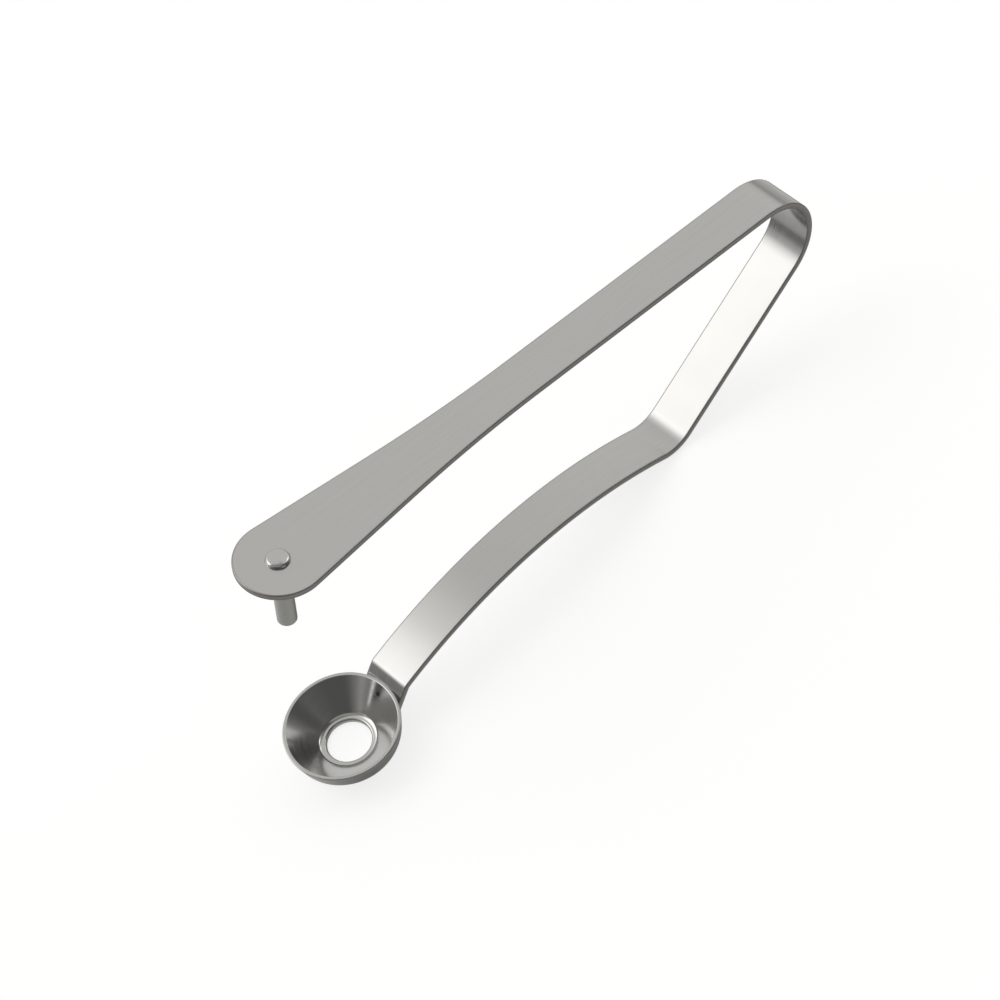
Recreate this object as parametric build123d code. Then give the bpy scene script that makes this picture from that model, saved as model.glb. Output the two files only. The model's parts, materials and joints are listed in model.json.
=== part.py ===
"""Fruit pitter: sprung steel tongs with a holed cup below and a punch pin above.

One stainless strip is bent into a bow, which is the spring. Its upper arm widens to a
round end that carries the punch pin. Its lower arm runs down to a knee, rises in a long
arc and ends in a tab, which is cut to the cup's wall and welded to it. Squeezing the
arms drives the pin through the fruit in the cup, and the stone drops out of the hole.

Frame: millimetres, +Z up. The origin is on the cup's axis, on the table that the cup's
foot and the knee stand on. +X points from the cup to the bow.
"""

import os
from math import acos, asin, atan2, cos, degrees, radians, sin, sqrt, tan

from build123d import *

# Strip that both arms and the bow are bent from
strip_width = 11.1
strip_thick = 1.5
edge_round = 0.3

# Upper arm, which slopes down from the pin to the bow
arm_angle = 11.8
end_radius = 10.3
pin_to_end_centre = 0.8
taper_angle = 5.5
waist_radius = 400.0

# Bow, measured on the middle of the strip
bow_radius = 12.8

# Lower arm, measured on the middle of the strip
straight_angle = 26.2
straight_length = 44.1
knee_radius = 9.0
arc_radius = 109.8
fall_angle = 16.1
tab_bend_radius = 1.6
tab_angle = 47.4
strip_above_rim = 1.34
tab_below_rim = 4.0

# Cup, turned from bar: a rounded drum outside and a funnel inside
cup_height = 8.0
rim_radius = 13.5
rim_width = 0.82
rim_round = 0.25
wall_angle = 78.0
hole_radius = 5.15
hole_round = 0.5
foot_width = 1.8
ring_height = 1.2
ring_flat = 0.1
funnel_bend_radius = 1.5

# Where the tab's upper face meets the cup's wall, below the rim
tab_seat_depth = 0.1

# Punch pin, shouldered below the arm and peened over above it
pin_radius = 2.2
pin_length = 18.1
tip_round = 0.5
tenon_radius = 1.5
head_radius = 2.75
head_height = 1.1
head_edge = 0.25

# Weld bead under the tab
bead_radius = 0.7


def heading(angle):
    """Unit vector in the side view, counted from +X towards +Z in degrees."""
    return Vector(cos(radians(angle)), sin(radians(angle)))


def side_section(lines):
    """Flat face in the plane of the side view, bounded by lines."""
    return Plane.XZ * make_face([edge for line in lines for edge in line.edges()])


# The strip comes to the cup at a set height above the rim, and that sets how steeply
# it climbs from the knee.
strip_end_height = cup_height + strip_above_rim
climb_cosine = knee_radius + arc_radius * cos(radians(fall_angle)) + strip_thick / 2 - strip_end_height
rise_angle = degrees(acos(climb_cosine / (knee_radius + arc_radius)))

# Cup section, as distances from the axis: the wall runs down from the rim, and a corner
# as large as fits turns it into the flat foot round the hole.
foot_radius = hole_radius + foot_width
base_radius = rim_radius - cup_height / tan(radians(wall_angle))
corner_radius = (base_radius - foot_radius) / tan(radians(wall_angle / 2))
corner_centre = Vector(foot_radius, corner_radius)
wall_drop = cup_height - corner_radius * (1 - cos(radians(wall_angle)))


def wall_radius(depth):
    """Outer radius of the cup at a depth below the rim."""
    if depth < wall_drop:
        return rim_radius - depth / tan(radians(wall_angle))
    below_centre = corner_centre.Y - (cup_height - depth)
    return foot_radius + sqrt(corner_radius**2 - below_centre**2)


def lower_strip(start):
    """Middle line of the strip from the top of the bow to the end of the tab's bend."""
    bow = JernArc(start, heading(-arm_angle), bow_radius, -(180 - arm_angle - straight_angle))
    straight = Line(bow @ 1, (bow @ 1) + (bow % 1) * straight_length)
    knee = JernArc(straight @ 1, straight % 1, knee_radius, -(straight_angle + rise_angle))
    rise = JernArc(knee @ 1, knee % 1, arc_radius, rise_angle + fall_angle)
    tab_bend = JernArc(rise @ 1, rise % 1, tab_bend_radius, tab_angle - fall_angle)
    return bow, straight, knee, rise, tab_bend


# The strip is first laid out from nowhere in particular. Its knee then gives the height
# of the table, and the upper face of its tab gives the place of the cup.
trial_knee, trial_bend = lower_strip((0, 0))[2], lower_strip((0, 0))[4]
table_height = trial_knee.arc_center.Y - knee_radius - strip_thick / 2
face_point = (trial_bend @ 1) + heading(90 + tab_angle) * (strip_thick / 2)
seat_height = table_height + cup_height - tab_seat_depth
seat_x = face_point.X + (seat_height - face_point.Y) / tan(radians(tab_angle))
cup_x = seat_x - wall_radius(tab_seat_depth)

bow_line, straight_line, knee_line, rise_line, bend_line = lower_strip((-cup_x, -table_height))
bend_end = bend_line @ 1
tab_end_height = cup_height - tab_below_rim + strip_thick / 2 * cos(radians(tab_angle))
tab_length = (bend_end.Y - tab_end_height) / sin(radians(tab_angle))
tab_line = Line(bend_end, bend_end + heading(180 + tab_angle) * tab_length)

# The pin's tip hangs over the middle of the cup's hole, and that sets the arm's length.
bow_top = bow_line @ 0
pin_reach = strip_thick / 2 + pin_length
arm_length = (bow_top.X - pin_reach * sin(radians(arm_angle))) / cos(radians(arm_angle))
pin_root = bow_top - heading(-arm_angle) * arm_length
arm_plane = Plane(
    origin=(pin_root.X, 0, pin_root.Y),
    x_dir=(cos(radians(arm_angle)), 0, -sin(radians(arm_angle))),
    z_dir=(sin(radians(arm_angle)), 0, cos(radians(arm_angle))),
)


def bent_strip(*lines):
    """Strip of the full width along lines in the side view."""
    path = Plane.XZ * Wire(lines)
    section = RectangleRounded(strip_width, strip_thick, edge_round)
    return sweep(Plane(origin=path @ 0, x_dir=(0, 1, 0), z_dir=path % 0) * section, path=path)


def upper_arm():
    """Flat arm on its own plane: straight strip, long waist, taper, round end, pin hole."""
    half_width = strip_width / 2
    angle = radians(taper_angle)
    touch = Vector(pin_to_end_centre + end_radius * sin(angle), end_radius * cos(angle))
    corner_x = touch.X + (touch.Y - half_width) / tan(angle)
    waist_run = waist_radius * tan(angle / 2)
    waist_start = Vector(corner_x - waist_run * cos(angle), half_width + waist_run * sin(angle))
    taper = Line(touch, waist_start)
    waist = JernArc(waist_start, taper % 1, waist_radius, taper_angle)
    side = Line(waist @ 1, (arm_length, half_width))
    sides = [taper, waist, side]
    mirrored = [edge.mirror(Plane.XZ) for edge in sides]
    tip = ThreePointArc(touch, (pin_to_end_centre - end_radius, 0), (touch.X, -touch.Y))
    butt = Line((arm_length, half_width), (arm_length, -half_width))
    outline = make_face([tip, butt] + sides + mirrored)
    arm = extrude(outline, amount=strip_thick / 2, both=True)
    flat_faces = arm.faces().sort_by(Axis.Z)
    rims = flat_faces[0].edges() + flat_faces[-1].edges()
    rounded = [edge for edge in rims if edge.center().X < arm_length - edge_round]
    arm = fillet(rounded, edge_round)
    arm -= Cylinder(tenon_radius, 2 * strip_thick)
    return arm_plane * arm


def punch_pin():
    """Turned pin with a shoulder under the arm, a tenon through it and a peened dome."""
    top = strip_thick / 2
    dome_rise = head_height - head_edge
    sphere_radius = (head_radius**2 + dome_rise**2) / (2 * dome_rise)
    half_angle = acos(1 - dome_rise / sphere_radius) / 2
    dome_middle = (
        sphere_radius * sin(half_angle),
        top + head_height - sphere_radius * (1 - cos(half_angle)),
    )
    tip = -top - pin_length
    round_middle = tip_round * sin(radians(45))
    lines = [
        ThreePointArc((0, top + head_height), dome_middle, (head_radius, top + head_edge)),
        Polyline(
            (head_radius, top + head_edge),
            (head_radius, top),
            (tenon_radius, top),
            (tenon_radius, -top),
            (pin_radius, -top),
            (pin_radius, tip + tip_round),
        ),
        ThreePointArc(
            (pin_radius, tip + tip_round),
            (pin_radius - tip_round + round_middle, tip + tip_round - round_middle),
            (pin_radius - tip_round, tip),
        ),
        Polyline((pin_radius - tip_round, tip), (0, tip), (0, top + head_height)),
    ]
    return arm_plane * revolve(side_section(lines), Axis.Z)


def outside_lines():
    """Wall and corner of the cup in section, from its rim down to its foot."""
    wall_foot = corner_centre + heading(wall_angle - 90) * corner_radius
    corner_middle = corner_centre + heading((wall_angle - 180) / 2) * corner_radius
    wall = Line((rim_radius, cup_height), wall_foot)
    return wall, ThreePointArc(wall_foot, corner_middle, (foot_radius, 0))


def cup_envelope():
    """Everything inside the cup's outer face, from its foot to its rim."""
    wall, corner = outside_lines()
    closing = Polyline(corner @ 1, (0, 0), (0, cup_height), wall @ 0)
    return revolve(side_section([wall, corner, closing]), Axis.Z)


def pitting_cup():
    """Turned cup: flat foot round the hole, rounded ring above it, funnel up to the rim."""
    wall, corner = outside_lines()
    round_centre = Vector(hole_radius + hole_round, ring_height - hole_round)
    hole_top = round_centre + heading(180) * hole_round
    ring_edge = round_centre + heading(90) * hole_round
    bend_foot = ring_edge + heading(0) * ring_flat
    bend_centre = bend_foot + heading(90) * funnel_bend_radius
    funnel_top = Vector(rim_radius - rim_width, cup_height)
    reach = funnel_top - bend_centre
    funnel_angle = degrees(atan2(reach.Y, reach.X) + asin(funnel_bend_radius / reach.length))
    bend_middle = bend_centre + heading(funnel_angle / 2 - 90) * funnel_bend_radius
    funnel_foot = bend_centre + heading(funnel_angle - 90) * funnel_bend_radius
    lines = [
        wall,
        corner,
        Polyline(corner @ 1, (hole_radius, 0), hole_top),
        ThreePointArc(hole_top, round_centre + heading(135) * hole_round, ring_edge),
        Line(ring_edge, bend_foot),
        ThreePointArc(bend_foot, bend_middle, funnel_foot),
        Polyline(funnel_foot, funnel_top, wall @ 0),
    ]
    cup = revolve(side_section(lines), Axis.Z)
    rim_edges = cup.edges().filter_by_position(Axis.Z, cup_height, cup_height)
    return fillet(rim_edges, rim_round)


def weld_bead(tab, envelope):
    """Fillet of weld where the tab's lower face meets the cup's wall."""
    slope = radians(tab_angle)
    face_at_rim = wall_radius(tab_seat_depth) + tab_seat_depth / tan(slope) + strip_thick / sin(slope)
    middle_depth = (face_at_rim - rim_radius) / (1 / tan(slope) - 1 / tan(radians(wall_angle)))
    middle_x = face_at_rim - middle_depth / tan(slope)
    end_x = face_at_rim - tab_below_rim / tan(slope)
    end_y = sqrt(wall_radius(tab_below_rim) ** 2 - end_x**2)
    end_height = cup_height - tab_below_rim
    path = ThreePointArc(
        (end_x, -end_y, end_height),
        (middle_x, 0, cup_height - middle_depth),
        (end_x, end_y, end_height),
    )
    bead = sweep(Plane(origin=path @ 0, z_dir=path % 0) * Circle(bead_radius), path=path)
    return bead - tab - envelope


envelope = cup_envelope()
lower_arm = bent_strip(straight_line, knee_line, rise_line, bend_line, tab_line) - envelope

pieces = {
    "upper_arm": upper_arm(),
    "spring_bow": bent_strip(bow_line),
    "lower_arm": lower_arm,
    "pitting_cup": pitting_cup(),
    "punch_pin": punch_pin(),
    "weld_bead": weld_bead(lower_arm, envelope),
}

os.makedirs("parts", exist_ok=True)
for node, shape in pieces.items():
    export_step(shape, f"parts/{node}.step")

bow_centre = bow_line.arc_center
print(f"arm length {arm_length:.2f}, rise {rise_angle:.2f} deg, tab length {tab_length:.2f}")
print(f"bow centre x {bow_centre.X:.3f} z {bow_centre.Y:.3f}")
print(f"pin root x {pin_root.X:.3f} z {pin_root.Y:.3f}")
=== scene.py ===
import json

import bmesh
import bpy
import numpy as np
from mathutils import Matrix, Vector


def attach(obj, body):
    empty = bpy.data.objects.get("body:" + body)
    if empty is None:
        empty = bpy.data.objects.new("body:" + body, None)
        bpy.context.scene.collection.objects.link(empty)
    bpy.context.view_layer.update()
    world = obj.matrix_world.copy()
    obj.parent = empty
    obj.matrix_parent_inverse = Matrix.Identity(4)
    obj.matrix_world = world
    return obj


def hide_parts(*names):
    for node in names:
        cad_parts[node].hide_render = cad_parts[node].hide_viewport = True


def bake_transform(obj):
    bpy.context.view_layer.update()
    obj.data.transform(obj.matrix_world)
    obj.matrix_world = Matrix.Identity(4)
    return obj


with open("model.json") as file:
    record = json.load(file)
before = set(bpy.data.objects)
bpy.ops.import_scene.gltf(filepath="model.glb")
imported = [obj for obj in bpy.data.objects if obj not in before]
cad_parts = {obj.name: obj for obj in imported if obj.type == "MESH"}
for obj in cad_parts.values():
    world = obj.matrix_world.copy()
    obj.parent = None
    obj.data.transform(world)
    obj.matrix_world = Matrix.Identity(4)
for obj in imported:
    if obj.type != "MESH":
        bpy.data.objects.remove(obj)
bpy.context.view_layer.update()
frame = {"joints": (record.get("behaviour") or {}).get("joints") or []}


# Steel strip. One length of cold-rolled stainless strip is blanked with a round end, its
# faces are brushed along their length, and it is bent cold into upper arm, bow, lower
# arm, knee, long arc and tab. It is one piece of metal, one mesh across the joint.
mm = 0.001
strip_width = 11.1
strip_thick = 1.5
edge_round = 0.3
arm_angle = np.radians(11.8)
end_radius = 10.3
pin_to_end_centre = 0.8
taper_angle = np.radians(5.5)
waist_radius = 400.0
bow_radius = 12.8
straight_angle = np.radians(26.2)
straight_length = 44.1
knee_radius = 9.0
arc_radius = 109.8
fall_angle = np.radians(16.1)
tab_bend_radius = 1.6
tab_angle = np.radians(47.4)
strip_above_rim = 1.34
tab_below_rim = 4.0
cup_height = 8.0
rim_radius = 13.5
wall_angle = np.radians(78.0)
pin_length = 18.1
# The tab reaches this far into the cup's wall, and its place there is found in a few tries.
seat_depth = 0.15
wall_tries = 8
# Beside each round a row of points lies this close, so that the shading of flats stays flat.
support = 0.05

half_width = strip_width / 2
half_thick = strip_thick / 2
bow_x, _, bow_z = (coordinate / mm for coordinate in frame["joints"][0]["pos_m"])
bow_top = np.array((bow_x + bow_radius * np.sin(arm_angle), bow_z + bow_radius * np.cos(arm_angle)))
pin_reach = half_thick + pin_length
arm_length = (bow_top[0] - pin_reach * np.sin(arm_angle)) / np.cos(arm_angle)
arm_along = np.array((np.cos(arm_angle), -np.sin(arm_angle)))
pin_root = bow_top - arm_along * arm_length
climb = knee_radius + arc_radius * np.cos(fall_angle) + half_thick - cup_height - strip_above_rim
rise_angle = np.arccos(climb / (knee_radius + arc_radius))
bend_drop = tab_bend_radius * (np.cos(fall_angle) - np.cos(tab_angle))
tab_drop = strip_above_rim + tab_below_rim - half_thick * np.cos(tab_angle) - bend_drop
tab_length = tab_drop / np.sin(tab_angle)

# Lengths and turns of the stretches, from the pin to the tab's end
bow_turn = np.pi - arm_angle - straight_angle
span_turn = np.array((0, -bow_turn, 0, -straight_angle - rise_angle, rise_angle + fall_angle,
                      tab_angle - fall_angle, 0))
span_length = np.array((arm_length, bow_radius * bow_turn, straight_length,
                        knee_radius * (straight_angle + rise_angle),
                        arc_radius * (rise_angle + fall_angle),
                        tab_bend_radius * (tab_angle - fall_angle), tab_length))
span_start = np.cumsum(span_length) - span_length
span_heading = np.cumsum(span_turn) - span_turn - arm_angle


def middle_line(distance):
    """Point and heading of the strip's middle line in the side view, at a distance from the pin.

    Every stretch is an arc or a straight line. After a run u with curvature k it has moved
    by a chord of length u sin(ku/2) / (ku/2), which points halfway between the first and
    the last heading. The point is the sum of the chords of all stretches up to there.
    """
    run = np.clip(distance[..., None] - span_start, 0, span_length)
    run[..., 0] = np.minimum(distance, span_length[0])
    turned = span_turn * run / span_length
    chord = run * np.sinc(turned / 2 / np.pi)
    direction = span_heading + turned / 2
    x = pin_root[0] + (chord * np.cos(direction)).sum(-1)
    z = pin_root[1] + (chord * np.sin(direction)).sum(-1)
    return x, z, turned.sum(-1) - arm_angle


def steps(first, last, count):
    """Evenly spaced values from first up to, but not including, last."""
    return np.linspace(first, last, count, endpoint=False)


# Outline of the right-hand edge: a quarter round at the end, the taper, the long waist
# and the straight edge, as distance along, distance across and outward normal
end_normal = np.radians(steps(180, 90 - np.degrees(taper_angle), 48))
waist_normal = np.pi / 2 - taper_angle + steps(0, taper_angle, 10)
touch = np.array((pin_to_end_centre + end_radius * np.sin(taper_angle), end_radius * np.cos(taper_angle)))
taper_run = (touch[1] - half_width) / np.sin(taper_angle) - waist_radius * np.tan(taper_angle / 2)
taper_end = touch + taper_run * np.array((np.cos(taper_angle), -np.sin(taper_angle)))
waist_centre = taper_end + waist_radius * np.array((np.sin(taper_angle), np.cos(taper_angle)))
taper_share = steps(0, 1, 6)
# Rows of points on each stretch, closer together where it bends
span_steps = (20, 84, 12, 36, 96, 18, 6)
side = [steps(waist_centre[0], arm_length, span_steps[0])]
side += [steps(a, a + length, count) for a, length, count
         in zip(span_start[1:], span_length[1:], span_steps[1:])]
side = np.concatenate(side + [[span_length.sum()]])
outline_along = np.concatenate((
    pin_to_end_centre + end_radius * np.cos(end_normal),
    touch[0] + taper_share * (taper_end[0] - touch[0]),
    waist_centre[0] - waist_radius * np.cos(waist_normal),
    side,
))
outline_across = np.concatenate((
    end_radius * np.sin(end_normal),
    touch[1] + taper_share * (taper_end[1] - touch[1]),
    waist_centre[1] - waist_radius * np.sin(waist_normal),
    np.full(side.shape, half_width),
))
outline_normal = np.concatenate((
    end_normal,
    np.full(taper_share.shape, np.pi / 2 - taper_angle),
    waist_normal,
    np.full(side.shape, np.pi / 2),
))


def strip_grid(inset, share, height):
    """Grid of points on the strip, one row for each station of the outline.

    A column lies an inset inside the outline, square to it, at a share of the way from the
    middle (0) to the edge (1 or -1), at a height above the middle of the thickness. The
    distance along it is laid on the middle line, which bends it. A point of the tab that
    would be inside the cup goes back along the tab to the wall, which is a cone there. The
    way back is the gap to the wall over the rate at which the gap closes, in a few tries.
    """
    normal = outline_normal[:, None]
    along = outline_along[:, None] - inset * np.cos(normal)
    across = share * (outline_across[:, None] - inset * np.sin(normal))
    height = np.broadcast_to(height, along.shape)
    x, z, heading = middle_line(along)
    x = x - height * np.sin(heading)
    z = z + height * np.cos(heading)
    wall_rate = np.sin(tab_angle) / np.tan(wall_angle)
    for _ in range(wall_tries):
        wall_radius = rim_radius - (cup_height - z) / np.tan(wall_angle) - seat_depth
        reach = np.hypot(x, across)
        back = (wall_radius - reach) / (np.cos(tab_angle) * x / reach - wall_rate)
        back = np.where(along > span_start[5] - tab_length, np.clip(back, 0, None), 0)
        x = x + back * np.cos(tab_angle)
        z = z + back * np.sin(tab_angle)
    unbent = np.stack((along, across, height), axis=-1)
    return np.stack((x, across, z), axis=-1), unbent


# Points closer than this are one point, and an edge that turns by more is shaded sharp.
same_point = 0.0005 * mm
sharp_edge = np.radians(40)


def make_piece(name, patches, materials):
    """One closed mesh from patches, which join where their points coincide.

    A patch is a grid of points in mm, a grid of the same size with the place of each point
    on the unworked metal, a grid of surface coordinates, and the number of its material.
    Four neighbours in a grid make a face, and an open end is closed with one flat face.
    """
    points, faces, places, coordinates, numbers = [], [], [], [], []
    count = 0
    for grid, place, surface, number in patches:
        rows, columns = grid.shape[:2]
        corner = count + np.arange(rows * columns).reshape(rows, columns)
        quads = np.stack((corner[:-1, :-1], corner[:-1, 1:], corner[1:, 1:], corner[1:, :-1]), axis=-1)
        count += rows * columns
        points.append(grid.reshape(-1, 3))
        places.append(place.reshape(-1, 3))
        coordinates.append(surface.reshape(-1, 2))
        faces.append(quads.reshape(-1, 4))
        numbers.append(np.full(len(faces[-1]), number))
    faces = np.concatenate(faces)
    mesh = bpy.data.meshes.new(name)
    mesh.from_pydata(np.concatenate(points) * mm, [], faces, shade_flat=False)
    mesh.polygons.foreach_set("material_index", np.concatenate(numbers))
    mesh.uv_layers.new(name="surface").uv.foreach_set(
        "vector", np.concatenate(coordinates)[faces.ravel()].astype(np.float32).ravel())
    mesh.attributes.new("place", "FLOAT_VECTOR", "POINT").data.foreach_set(
        "vector", np.concatenate(places).astype(np.float32).ravel())
    shell = bmesh.new()
    shell.from_mesh(mesh)
    bmesh.ops.remove_doubles(shell, verts=shell.verts, dist=same_point)
    bmesh.ops.holes_fill(shell, edges=[edge for edge in shell.edges if edge.is_boundary])
    bmesh.ops.recalc_face_normals(shell, faces=shell.faces)
    shell.to_mesh(mesh)
    shell.free()
    mesh.set_sharp_from_angle(angle=sharp_edge)
    for material in materials:
        mesh.materials.append(material)
    piece = bpy.data.objects.new(name, mesh)
    bpy.context.scene.collection.objects.link(piece)
    return piece


def linear(code):
    """Colour from its sRGB hex code: each share below 0.04045 is divided by 12.92, and a
    larger one is raised by 0.055, divided by 1.055 and taken to the power 2.4."""
    share = np.array([int(code[i:i + 2], 16) / 255 for i in (1, 3, 5)])
    colour = np.where(share < 0.04045, share / 12.92, ((share + 0.055) / 1.055) ** 2.4)
    return (*colour.tolist(), 1.0)


def add(tree, kind, settings, links={}):
    """Add a node. Settings are its own properties or the values of its inputs, by name or
    number, and links join its inputs to outputs of other nodes."""
    node = tree.nodes.new(kind)
    for name, value in settings.items():
        if isinstance(name, str) and hasattr(node, name):
            setattr(node, name, value)
        else:
            node.inputs[name].default_value = value
    for name, output in links.items():
        tree.links.new(output, node.inputs[name])
    return node


def new_material(name):
    """Empty material and its node tree."""
    material = bpy.data.materials.new(name)
    material.use_nodes = True
    material.node_tree.nodes.clear()
    return material, material.node_tree


def brushed_stainless():
    """18/10 stainless strip, brushed along its length: grey with fine streaks, and
    highlights that spread across the strip more than along it."""
    material, tree = new_material("brushed_stainless_strip")
    place = add(tree, "ShaderNodeAttribute", {"attribute_name": "place"}).outputs["Vector"]
    # Real grit lines are 0.02 to 0.05 mm wide. These are wider, in mm, so that they show.
    line_length, line_width = 22, 0.3
    grit_length, grit_width = 5, 0.12
    cloud_size = 9
    # A quarter turn lays the wide side of a highlight across the brushing.
    quarter_turn = 0.25
    long_lines = add(tree, "ShaderNodeMapping",
                     {"Scale": (1 / line_length, 1 / line_width, 1 / line_width)}, {"Vector": place})
    lines = add(tree, "ShaderNodeTexNoise", {"Scale": 1.0, "Detail": 3.0, "Roughness": 0.6},
                {"Vector": long_lines.outputs[0]})
    short_lines = add(tree, "ShaderNodeMapping",
                      {"Scale": (1 / grit_length, 1 / grit_width, 1 / grit_width)}, {"Vector": place})
    grit = add(tree, "ShaderNodeTexNoise", {"Scale": 1.0, "Detail": 2.0}, {"Vector": short_lines.outputs[0]})
    clouds = add(tree, "ShaderNodeTexNoise", {"Scale": 1 / cloud_size, "Detail": 2.0}, {"Vector": place})
    tone = add(tree, "ShaderNodeValToRGB", {}, {"Fac": lines.outputs["Fac"]})
    tone.color_ramp.elements[0].position = 0.3
    tone.color_ramp.elements[0].color = linear("#C9C8C7")
    tone.color_ramp.elements[1].position = 0.7
    tone.color_ramp.elements[1].color = linear("#CECDCC")
    rough_lines = add(tree, "ShaderNodeMapRange",
                      {"From Min": 0.3, "From Max": 0.7, "To Min": 0.2, "To Max": 0.25},
                      {"Value": lines.outputs["Fac"]})
    rough_clouds = add(tree, "ShaderNodeMath", {"operation": "MULTIPLY_ADD", 1: 0.04},
                       {0: clouds.outputs["Fac"], 2: rough_lines.outputs[0]})
    relief = add(tree, "ShaderNodeMath", {"operation": "MULTIPLY_ADD", 1: 0.5},
                 {0: grit.outputs["Fac"], 2: lines.outputs["Fac"]})
    bump = add(tree, "ShaderNodeBump", {"Strength": 0.08, "Distance": 0.01 * mm},
               {"Height": relief.outputs[0]})
    tangent = add(tree, "ShaderNodeTangent", {"direction_type": "UV_MAP", "uv_map": "surface"})
    shader = add(tree, "ShaderNodeBsdfPrincipled",
                 {"Metallic": 1.0, "Anisotropic": 0.6, "Anisotropic Rotation": quarter_turn},
                 {"Base Color": tone.outputs["Color"], "Roughness": rough_clouds.outputs[0],
                  "Normal": bump.outputs[0], "Tangent": tangent.outputs[0]})
    add(tree, "ShaderNodeOutputMaterial", {}, {"Surface": shader.outputs[0]})
    return material


def sheared_edge_with_painted_shade():
    """Edge of the strip as the blanking tool leaves it, tumbled smooth: duller than the faces, painted
    darker as shade for the dark surroundings it mirrors, with a smooth band above and a grainy one below."""
    material, tree = new_material("dull_edge_with_painted_shade")
    place = add(tree, "ShaderNodeAttribute", {"attribute_name": "place"}).outputs["Vector"]
    # The smooth band turns grainy over 0.2 mm at the middle of the thickness.
    grain_size = 0.25
    blend_half = 0.1
    parts = add(tree, "ShaderNodeSeparateXYZ", {}, {"Vector": place})
    torn = add(tree, "ShaderNodeMapRange",
               {"interpolation_type": "SMOOTHSTEP", "From Min": blend_half, "From Max": -blend_half},
               {"Value": parts.outputs["Z"]})
    grains = add(tree, "ShaderNodeTexNoise", {"Scale": 1 / grain_size, "Detail": 3.0}, {"Vector": place})
    # Greys darker than the faces: partly the edge's own dullness, partly painted shade for the dark
    # surroundings that the edges mirror.
    tone = add(tree, "ShaderNodeValToRGB", {}, {"Fac": grains.outputs["Fac"]})
    tone.color_ramp.elements[0].position = 0.3
    tone.color_ramp.elements[0].color = linear("#A19F9C")
    tone.color_ramp.elements[1].position = 0.7
    tone.color_ramp.elements[1].color = linear("#B4B2AF")
    rough = add(tree, "ShaderNodeMapRange", {"To Min": 0.34, "To Max": 0.5}, {"Value": torn.outputs[0]})
    height = add(tree, "ShaderNodeMath", {"operation": "MULTIPLY"},
                 {0: grains.outputs["Fac"], 1: torn.outputs[0]})
    bump = add(tree, "ShaderNodeBump", {"Strength": 0.4, "Distance": 0.02 * mm},
               {"Height": height.outputs[0]})
    shader = add(tree, "ShaderNodeBsdfPrincipled", {"Metallic": 1.0}, {
        "Base Color": tone.outputs["Color"], "Roughness": rough.outputs[0], "Normal": bump.outputs[0]})
    add(tree, "ShaderNodeOutputMaterial", {}, {"Surface": shader.outputs[0]})
    return material


face_share = np.linspace(-1, 1, 13)
face_inset = np.full(face_share.shape, edge_round + support)
corner_turn = np.radians(np.linspace(90, 0, 8))
corner_inset = edge_round * (1 - np.cos(corner_turn))
corner_height = half_thick - edge_round * (1 - np.sin(corner_turn))
flank_height = corner_height[-1] - support
rim_inset = np.concatenate((
    [edge_round + support], corner_inset, [0, 0, 0], corner_inset[::-1], [edge_round + support]))
rim_height = np.concatenate((
    [half_thick], corner_height, [flank_height, 0, -flank_height], -corner_height[::-1], [-half_thick]))

patches = []
for side_height in (half_thick, -half_thick):
    grid, unbent = strip_grid(face_inset, face_share, side_height)
    patches.append((grid, unbent, unbent[..., :2], 0))
for side_sign in (1, -1):
    grid, unbent = strip_grid(rim_inset, side_sign, rim_height)
    patches.append((grid, unbent, unbent[..., ::2], 1))
steel_strip = make_piece("steel_strip", patches, [brushed_stainless(), sheared_edge_with_painted_shade()])
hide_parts("upper_arm", "spring_bow", "lower_arm")
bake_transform(steel_strip)


# Pitting cup. It is turned from stainless bar: a rounded drum outside, and inside a funnel
# that runs down to a narrow ring round the hole. It is polished inside, where the fruit
# sits, and only satin outside, and the weld of the tab shows inside as a small dark mark.
rim_width = 0.82
rim_round = 0.25
hole_radius = 5.15
hole_round = 0.5
foot_width = 1.8
ring_height = 1.2
ring_flat = 0.1
funnel_bend_radius = 1.5
fine_round = 0.12
# Middle of the weld's heat mark on the funnel, across from the tab
weld_mark = np.array((11.05, 0.25, 6.23))
# Angle between points on a round, and the tube on which the patterns of turned faces lie
round_step = 0.06
unrolled_radius = 10


def rounded_line(corners):
    """Points along a line with rounded corners in a section, and the distance to each.

    A corner is its distance from the axis, its height and the radius of its round. The
    round starts and ends r tan(turn / 2) from the corner, and turns about a centre that
    lies r to the side. The straight stretches have one more point close to each round.
    """
    spots = np.array([corner[:2] for corner in corners], float)
    parts = [spots[:1]]
    for before, spot, after, corner in zip(spots[:-2], spots[1:-1], spots[2:], corners[1:-1]):
        into = (spot - before) / np.hypot(*(spot - before))
        out = (after - spot) / np.hypot(*(after - spot))
        turn = np.arctan2(into[0] * out[1] - into[1] * out[0], into @ out)
        side = np.sign(turn) * np.array((-into[1], into[0]))
        first = spot - into * corner[2] * np.tan(abs(turn) / 2)
        angle = np.linspace(0, turn, 4 + int(abs(turn) / round_step))[:, None]
        spoke = np.sin(angle) * into * np.sign(turn) - np.cos(angle) * side
        arc = first + corner[2] * (side + spoke)
        parts += [arc[:1] - into * support, arc, arc[-1:] + out * support]
    line = np.concatenate(parts + [spots[-1:]])
    distance = np.concatenate(([0], np.cumsum(np.hypot(*np.diff(line, axis=0).T))))
    return line, distance


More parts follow.
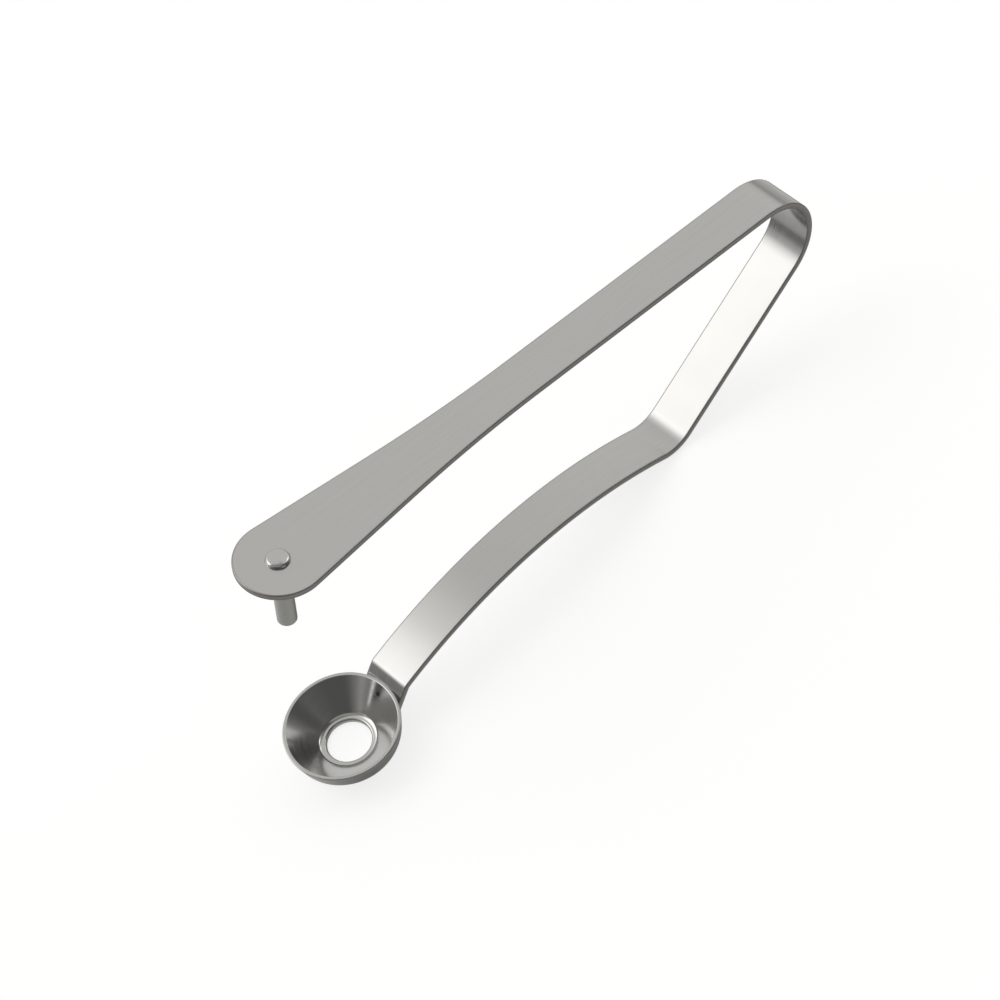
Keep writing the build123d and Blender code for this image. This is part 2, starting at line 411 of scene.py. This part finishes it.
def turned_patch(line, distance, number, turns=192):
    """Patch of a turned face: each point of the line goes round the Z axis in one circle.
    Its place for the patterns is on a tube of one radius, as high as the distance."""
    angle = np.linspace(0, 2 * np.pi, turns + 1)
    circle = np.stack((np.cos(angle), np.sin(angle)), axis=-1)
    across = line[:, None, :1] * circle
    shape = across.shape[:2] + (1,)
    grid = np.concatenate((across, np.broadcast_to(line[:, None, 1:], shape)), axis=-1)
    length = np.broadcast_to(distance[:, None, None], shape)
    place = np.concatenate((np.broadcast_to(circle * unrolled_radius, across.shape), length), axis=-1)
    turned = np.broadcast_to(angle[None, :, None] * unrolled_radius, shape)
    surface = np.concatenate((turned, length), axis=-1)
    return grid, place, surface, number


def polished_stainless():
    """Inside of the cup and the pin's head: turned steel, polished on a spinning felt, which
    leaves fine rings, long soft waves and clear, slightly soft reflections. The weld's heat
    has left one small brown mark."""
    material, tree = new_material("polished_stainless")
    place = add(tree, "ShaderNodeAttribute", {"attribute_name": "place"}).outputs["Vector"]
    # Rings go round the axis and waves run along it, both in mm.
    ring_length, ring_step = 14, 0.25
    wave_width, wave_length = 1.4, 12
    mark_middle, mark_edge = 0.2 * mm, 0.9 * mm
    ring_scale = add(tree, "ShaderNodeMapping",
                     {"Scale": (1 / ring_length, 1 / ring_length, 1 / ring_step)}, {"Vector": place})
    rings = add(tree, "ShaderNodeTexNoise", {"Scale": 1.0, "Detail": 3.0}, {"Vector": ring_scale.outputs[0]})
    wave_scale = add(tree, "ShaderNodeMapping",
                     {"Scale": (1 / wave_width, 1 / wave_width, 1 / wave_length)}, {"Vector": place})
    waves = add(tree, "ShaderNodeTexNoise", {"Scale": 1.0, "Detail": 2.0}, {"Vector": wave_scale.outputs[0]})
    rough = add(tree, "ShaderNodeMapRange",
                {"From Min": 0.3, "From Max": 0.7, "To Min": 0.13, "To Max": 0.2},
                {"Value": rings.outputs["Fac"]})
    relief = add(tree, "ShaderNodeMath", {"operation": "MULTIPLY_ADD", 1: 0.15},
                 {0: rings.outputs["Fac"], 2: waves.outputs["Fac"]})
    bump = add(tree, "ShaderNodeBump", {"Strength": 0.15, "Distance": 0.03 * mm},
               {"Height": relief.outputs[0]})
    spot = add(tree, "ShaderNodeTexCoord", {}).outputs["Object"]
    to_mark = add(tree, "ShaderNodeVectorMath", {"operation": "DISTANCE", 1: weld_mark * mm}, {0: spot})
    heat = add(tree, "ShaderNodeMapRange",
               {"interpolation_type": "SMOOTHSTEP", "From Min": mark_middle, "From Max": mark_edge,
                "To Min": 1.0, "To Max": 0.0}, {"Value": to_mark.outputs["Value"]})
    tone = add(tree, "ShaderNodeMix", {"data_type": "RGBA", 6: linear("#CBCAC8"), 7: linear("#6E675F")},
               {"Factor": heat.outputs[0]})
    shader = add(tree, "ShaderNodeBsdfPrincipled", {"Metallic": 1.0}, {
        "Base Color": tone.outputs[2], "Roughness": rough.outputs[0], "Normal": bump.outputs[0]})
    add(tree, "ShaderNodeOutputMaterial", {}, {"Surface": shader.outputs[0]})
    return material


def satin_stainless():
    """Outside of the cup and the pin's shank: turned steel with the satin rings that an
    abrasive pad leaves, so its highlights are soft."""
    material, tree = new_material("satin_stainless")
    place = add(tree, "ShaderNodeAttribute", {"attribute_name": "place"}).outputs["Vector"]
    ring_length, ring_step = 9, 0.2
    ring_scale = add(tree, "ShaderNodeMapping",
                     {"Scale": (1 / ring_length, 1 / ring_length, 1 / ring_step)}, {"Vector": place})
    rings = add(tree, "ShaderNodeTexNoise", {"Scale": 1.0, "Detail": 3.0}, {"Vector": ring_scale.outputs[0]})
    rough = add(tree, "ShaderNodeMapRange",
                {"From Min": 0.3, "From Max": 0.7, "To Min": 0.25, "To Max": 0.36},
                {"Value": rings.outputs["Fac"]})
    tone = add(tree, "ShaderNodeValToRGB", {}, {"Fac": rings.outputs["Fac"]})
    tone.color_ramp.elements[0].position = 0.3
    tone.color_ramp.elements[0].color = linear("#BDBCBA")
    tone.color_ramp.elements[1].position = 0.7
    tone.color_ramp.elements[1].color = linear("#C9C8C6")
    bump = add(tree, "ShaderNodeBump", {"Strength": 0.3, "Distance": 0.01 * mm},
               {"Height": rings.outputs["Fac"]})
    shader = add(tree, "ShaderNodeBsdfPrincipled", {"Metallic": 1.0}, {
        "Base Color": tone.outputs["Color"], "Roughness": rough.outputs[0], "Normal": bump.outputs[0]})
    add(tree, "ShaderNodeOutputMaterial", {}, {"Surface": shader.outputs[0]})
    return material


foot_middle = hole_radius + foot_width / 2
outer_foot = rim_radius - cup_height / np.tan(wall_angle)
corner_radius = (outer_foot - hole_radius - foot_width) / np.tan(wall_angle / 2)
rim_middle = rim_radius - rim_width / 2
inner_rim = rim_radius - rim_width
ring_radius = hole_radius + hole_round + ring_flat
funnel_reach = np.array((inner_rim - ring_radius, cup_height - ring_height - funnel_bend_radius))
funnel_angle = (np.arctan2(funnel_reach[1], funnel_reach[0])
                + np.arcsin(funnel_bend_radius / np.hypot(*funnel_reach)))
inner_foot = ring_radius + funnel_bend_radius * np.tan(funnel_angle / 2)

outside_line = rounded_line([
    (rim_middle, cup_height, 0), (rim_radius, cup_height, rim_round),
    (outer_foot, 0, corner_radius), (foot_middle, 0, 0),
])
inside_line = rounded_line([
    (foot_middle, 0, 0), (hole_radius, 0, fine_round), (hole_radius, ring_height, hole_round),
    (inner_foot, ring_height, funnel_bend_radius), (inner_rim, cup_height, rim_round),
    (rim_middle, cup_height, 0),
])
satin_steel = satin_stainless()
polished_steel = polished_stainless()
cup = make_piece("turned_cup", [turned_patch(*outside_line, 0), turned_patch(*inside_line, 1)],
                 [satin_steel, polished_steel])
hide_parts("pitting_cup")
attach(cup, "lower_body")


# Punch pin. It is turned from 4.4 mm bar with a shoulder that the arm rests on. Its thinner
# end goes through the arm's hole and is peened over into a low dome.
pin_radius = 2.2
tip_round = 0.5
tenon_radius = 1.5
head_radius = 2.75
head_height = 1.1
head_round = 0.8
dome_radius = 9.0
peen_depth = 0.012
peen_blows = 5

dome_centre = half_thick + head_height - dome_radius
round_centre = head_radius - head_round
round_height = dome_centre + np.sqrt((dome_radius - head_round) ** 2 - round_centre**2)
dome_angle = np.arcsin(round_centre / (dome_radius - head_round))
dome_turn = steps(0, dome_angle, 20)[:, None]
round_turn = np.linspace(dome_angle, np.pi / 2, 12)[:, None]
dome = np.hstack((dome_radius * np.sin(dome_turn), dome_centre + dome_radius * np.cos(dome_turn)))
head_edge = np.hstack((round_centre + head_round * np.sin(round_turn),
                       round_height + head_round * np.cos(round_turn)))
shank_line, _ = rounded_line([
    (head_radius, round_height - support, 0), (head_radius, half_thick, fine_round / 4),
    (tenon_radius, half_thick, fine_round / 4), (tenon_radius, -half_thick, fine_round / 4),
    (pin_radius, -half_thick, fine_round), (pin_radius, -pin_reach, tip_round), (0, -pin_reach, 0),
])
pin_line = np.concatenate((dome, head_edge, shank_line))
pin_distance = np.concatenate(([0], np.cumsum(np.hypot(*np.diff(pin_line, axis=0).T))))
grid, place, surface, _ = turned_patch(pin_line, pin_distance, 0, turns=96)

# The hammer leaves the head slightly uneven: round it the radius swells once for each blow
angle = np.arctan2(grid[..., 1], grid[..., 0])
on_head = grid[..., 2] > half_thick + fine_round
uneven = 1 - peen_depth * np.where(on_head, 1 + np.sin(peen_blows * angle + 1), 0)
arm_up = np.array((-arm_along[1], arm_along[0]))
side_x = pin_root[0] + grid[..., 0] * uneven * arm_along[0] + grid[..., 2] * arm_up[0]
side_z = pin_root[1] + grid[..., 0] * uneven * arm_along[1] + grid[..., 2] * arm_up[1]
grid = np.stack((side_x, grid[..., 1] * uneven, side_z), axis=-1)
head_rows = len(dome) + len(head_edge)
head = (grid[:head_rows], place[:head_rows], surface[:head_rows], 1)
shank = (grid[head_rows - 1:], place[head_rows - 1:], surface[head_rows - 1:], 0)
pin = make_piece("peened_pin", [head, shank], [satin_steel, polished_steel])
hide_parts("punch_pin")
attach(pin, "upper_body")


# Weld. One short bead joins the underside of the tab to the cup's wall, with a ripple for
# each step of the torch, cleaned but left duller than the steel on both sides.
bead_radius = 0.7
bead_half_width = 4.1
ripple_step = 0.55
ripple_depth = 0.06
tab_seat_depth = 0.1
seat_tries = 20

under_face = (rim_radius - tab_seat_depth / np.tan(wall_angle) + tab_seat_depth / np.tan(tab_angle)
              + strip_thick / np.sin(tab_angle))
bead_across = np.linspace(-bead_half_width, bead_half_width, 121)
bead_depth = np.zeros(bead_across.shape)
for _ in range(seat_tries):
    wall = np.sqrt((rim_radius - bead_depth / np.tan(wall_angle)) ** 2 - bead_across**2)
    bead_depth = (under_face - wall) * np.tan(tab_angle)
bead_line = np.stack((wall, bead_across, cup_height - bead_depth), axis=-1)


def bead_patch():
    """Round bead along a line: circles square to it, whose radius swells between ripples as
    the size of a sine does, and closes at both ends as a ball does."""
    direction = np.gradient(bead_line, axis=0)
    direction /= np.linalg.norm(direction, axis=1, keepdims=True)
    side = np.cross(direction, (0, 0, 1))
    side /= np.linalg.norm(side, axis=1, keepdims=True)
    other = np.cross(direction, side)
    to_end = np.clip((bead_half_width - np.abs(bead_across)) / bead_radius, 0, 1)
    swell = 1 - ripple_depth * (1 - np.abs(np.sin(np.pi * bead_across / ripple_step)))
    radius = bead_radius * swell * np.sqrt(1 - (1 - to_end) ** 2)
    angle = np.linspace(0, 2 * np.pi, 33)[None, :, None]
    spoke = np.cos(angle) * side[:, None] + np.sin(angle) * other[:, None]
    grid = bead_line[:, None] + radius[:, None, None] * spoke
    surface = np.stack(np.broadcast_arrays(bead_across[:, None], angle[..., 0]), axis=-1)
    return grid, grid, surface, 0


def weld_steel():
    """Weld metal: stainless filler, wire-brushed, dull, with a straw tint from the heat."""
    material, tree = new_material("brushed_weld_metal")
    place = add(tree, "ShaderNodeAttribute", {"attribute_name": "place"}).outputs["Vector"]
    grain_size = 0.4
    grains = add(tree, "ShaderNodeTexNoise", {"Scale": 1 / grain_size, "Detail": 4.0}, {"Vector": place})
    tone = add(tree, "ShaderNodeValToRGB", {}, {"Fac": grains.outputs["Fac"]})
    tone.color_ramp.elements[0].position = 0.3
    tone.color_ramp.elements[0].color = linear("#8F8880")
    tone.color_ramp.elements[1].position = 0.7
    tone.color_ramp.elements[1].color = linear("#B5AFA6")
    bump = add(tree, "ShaderNodeBump", {"Strength": 0.5, "Distance": 0.03 * mm},
               {"Height": grains.outputs["Fac"]})
    shader = add(tree, "ShaderNodeBsdfPrincipled", {"Metallic": 1.0, "Roughness": 0.45},
                 {"Base Color": tone.outputs["Color"], "Normal": bump.outputs[0]})
    add(tree, "ShaderNodeOutputMaterial", {}, {"Surface": shader.outputs[0]})
    return material


bead = make_piece("rippled_weld", [bead_patch()], [weld_steel()])
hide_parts("weld_bead")
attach(bead, "lower_body")


# Studio. A white table that curves up far behind, a grey room with a bright wall behind the
# tool and lamps to both sides, dark towards the camera, and the camera of the photograph.
table_radius = 4000.0
cove_radius = 2000.0
table_gap = 0.02


def white_table():
    """White paper, lit until it is pure white apart from soft contact shadows."""
    material, tree = new_material("white_paper_table")
    shader = add(tree, "ShaderNodeBsdfPrincipled", {
        "Base Color": linear("#B4B4B4"), "Roughness": 0.9,
        "Emission Color": linear("#FFFFFF"), "Emission Strength": 0.76})
    add(tree, "ShaderNodeOutputMaterial", {}, {"Surface": shader.outputs[0]})
    return material


cove_line = rounded_line([(0, -table_gap, 0), (table_radius, -table_gap, cove_radius),
                          (table_radius, 2 * cove_radius, 0)])
table = make_piece("table", [turned_patch(*cove_line, 0)], [white_table()])
table.visible_glossy = False
table.visible_diffuse = False

# Light from a direction: a grey room, over which soft boxes and dark cards are laid in turn.
# A card is the azimuth and elevation of its middle, its half width, its half height and the
# softness of its edges, all in degrees, and its brightness. The steel mirrors these. The
# azimuth is counted from +X, where the bow is, towards +Y, and the camera is at -110, seen
# from the cup. The room's level and the cards began as a least-squares fit, by another
# program, to the greys that the steel mirrors in the photograph. Eight cards stand nearly as
# the fit left them, in whole degrees, and the others were changed or added. The words beside
# each card say what it could be in a studio, which the photograph doesn't show.
room_light = 0.32
cards = (
    (132, -85, 67, 46, 16, 0.65),  # paper behind the tool
    (-121, -56, 77, 19, 16, 0.46),  # paper in front of it
    (0, -85, 180, 15, 16, 0.17),  # shade right below it
    (-98, 42, 67, 56, 17, 0.11),  # dark room behind the camera
    (-167, -7, 86, 12, 6, 0.24),  # dark horizon to the left
    (-132, 62, 55, 16, 5, 0.40),  # grey ceiling over the camera
    (8, 33, 30, 28, 6, 0.72),  # soft box to the right
    (-5, 33, 15, 8, 5, 1.9),  # its lamp
    (87, 15, 57, 55, 7, 0.71),  # pale wall behind the tool
    (116, 46, 33, 18, 12, 1.2),  # glow round the main lamp, high on the left
    (122, 42, 21, 18, 5, 2.0),  # main lamp
    (160, -22, 16, 15, 4, 0.40),  # edge of the table on the left
    (165, 22, 19, 8, 3, 0.42),  # grey card on the left
    (165, 4, 18, 11, 4, 0.07),  # black card below it
    (163, 22, 2, 12, 2, 1.4),  # bright slit, the streak in the cup
    (31, -3, 14, 4, 4, 0.28),  # dark strip low on the right, the line in the bow
    (-88, 7, 20, 12, 9, 0.46),  # grey card low in front
)
world = bpy.data.worlds.new("studio")
world.use_nodes = True
sky = world.node_tree
sky.nodes.clear()
towards = add(sky, "ShaderNodeTexCoord", {}).outputs["Generated"]
part = add(sky, "ShaderNodeSeparateXYZ", {}, {0: towards}).outputs
azimuth = add(sky, "ShaderNodeMath", {"operation": "ARCTAN2"}, {0: part["Y"], 1: part["X"]}).outputs[0]
elevation = add(sky, "ShaderNodeMath", {"operation": "ARCSINE"}, {0: part["Z"]}).outputs[0]
room = add(sky, "ShaderNodeValue", {})
room.outputs[0].default_value = room_light
light = room.outputs[0]
for *angles, level in cards:
    card_azimuth, card_elevation, half_across, half_up, softness = np.radians(angles)
    turn = add(sky, "ShaderNodeMath", {"operation": "SUBTRACT", 1: card_azimuth}, {0: azimuth})
    aside = add(sky, "ShaderNodeMath", {"operation": "PINGPONG", 1: np.pi}, {0: turn.outputs[0]})
    lift = add(sky, "ShaderNodeMath", {"operation": "SUBTRACT", 1: card_elevation}, {0: elevation})
    above = add(sky, "ShaderNodeMath", {"operation": "ABSOLUTE"}, {0: lift.outputs[0]})
    shares = []
    for distance, half in ((aside, half_across), (above, half_up)):
        shares.append(add(sky, "ShaderNodeMapRange",
                          {"interpolation_type": "SMOOTHSTEP", "From Min": half + softness,
                           "From Max": half - softness}, {"Value": distance.outputs[0]}))
    window = add(sky, "ShaderNodeMath", {"operation": "MULTIPLY"},
                 {0: shares[0].outputs[0], 1: shares[1].outputs[0]})
    light = add(sky, "ShaderNodeMix", {3: level}, {"Factor": window.outputs[0], 2: light}).outputs[0]
background = add(sky, "ShaderNodeBackground", {"Color": linear("#FFFFFC")}, {"Strength": light})
add(sky, "ShaderNodeOutputWorld", {}, {"Surface": background.outputs[0]})
bpy.context.scene.world = world
bpy.context.scene.view_settings.view_transform = "Standard"

# The camera stands where a fit to the photograph's outlines puts it, 0.93 m from the tool.
camera_place = Vector((-170.372, -458.981, 791.902)) * mm
camera_aim = Vector((59.431, 5.861, 19.881)) * mm
camera_roll = np.radians(-21.947)
lens = bpy.data.cameras.new("camera")
lens.lens = 151.53
lens.sensor_width = 36.0
lens.clip_end = 100.0
camera = bpy.data.objects.new("camera", lens)
look = (camera_aim - camera_place).to_track_quat("-Z", "Y").to_matrix().to_4x4()
camera.matrix_world = Matrix.Translation(camera_place) @ look @ Matrix.Rotation(camera_roll, 4, "Z")
bpy.context.scene.collection.objects.link(camera)
bpy.context.scene.camera = camera
